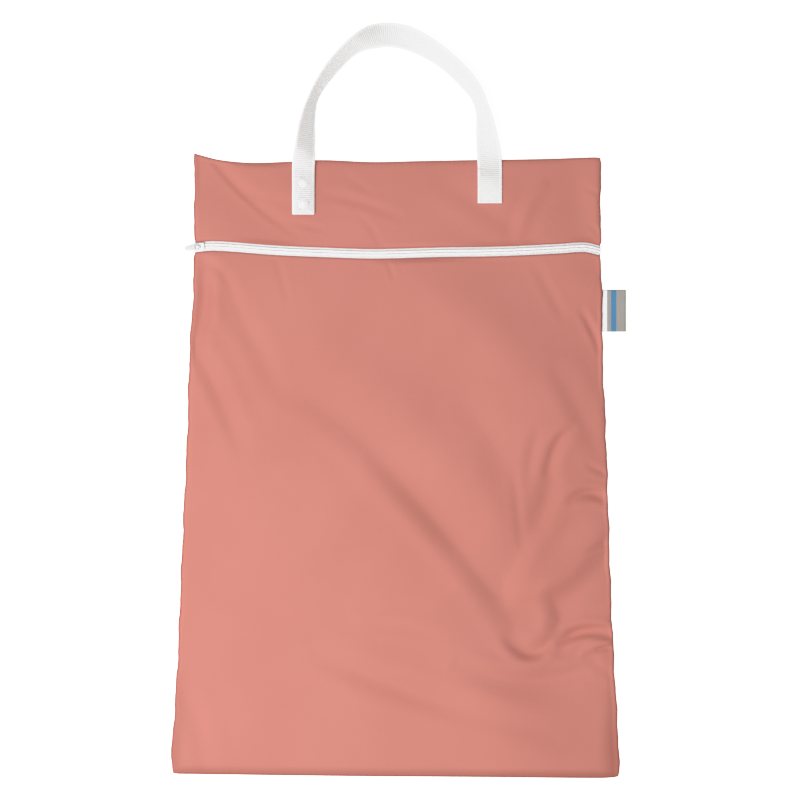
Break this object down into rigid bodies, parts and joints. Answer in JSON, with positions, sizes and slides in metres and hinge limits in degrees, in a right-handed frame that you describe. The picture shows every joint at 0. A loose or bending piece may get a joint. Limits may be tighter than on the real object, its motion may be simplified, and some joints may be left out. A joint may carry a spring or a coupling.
{
  "type": "cloth diaper wet bag",
  "caption": "Flat rectangular cloth wet bag lying on its back, with a zip across the front below a header, a webbing handle held by snaps at one end, and a folded side tag.",
  "frame": {"origin": "underside of the back panel, half way down the bag and under the middle of its top edge", "axes": "+Y towards the bag's top edge and handle, +Z out of the front cloth, +X to the right of someone who looks at the front"},
  "size_m": [0.4705, 0.7817, 0.0242],
  "materials": {
    "coral_cloth": "satin knit with a waterproof film inside",
    "white_tape": "matt woven tape",
    "white_coil": "satin coil",
    "white_slider": "gloss white paint",
    "white_webbing": "ribbed webbing",
    "white_snap": "gloss",
    "tag_ribbon": "satin woven ribbon"
  },
  "bodies": {
    "bag": {"back_panel": "coral_cloth", "front_panel": "coral_cloth", "header_panel": "coral_cloth", "zip_tape_upper": "white_tape", "zip_tape_lower": "white_tape", "zip_coil_upper": "white_coil", "zip_coil_lower": "white_coil", "zip_slider": "white_slider", "handle_strap": "white_webbing", "snap_upper": "white_snap", "snap_lower": "white_snap", "side_tag": "tag_ribbon"},
    "pull": {"zip_pull": "white_slider"}
  },
  "joints": [
    {"name": "pull_hinge", "type": "hinge", "parent": "bag", "child": "pull", "pos_m": [-0.20621, 0.22936, 0.00797], "axis": [-0.1019, 0.9948, 0], "range_deg": [0, 170]}
  ]
}
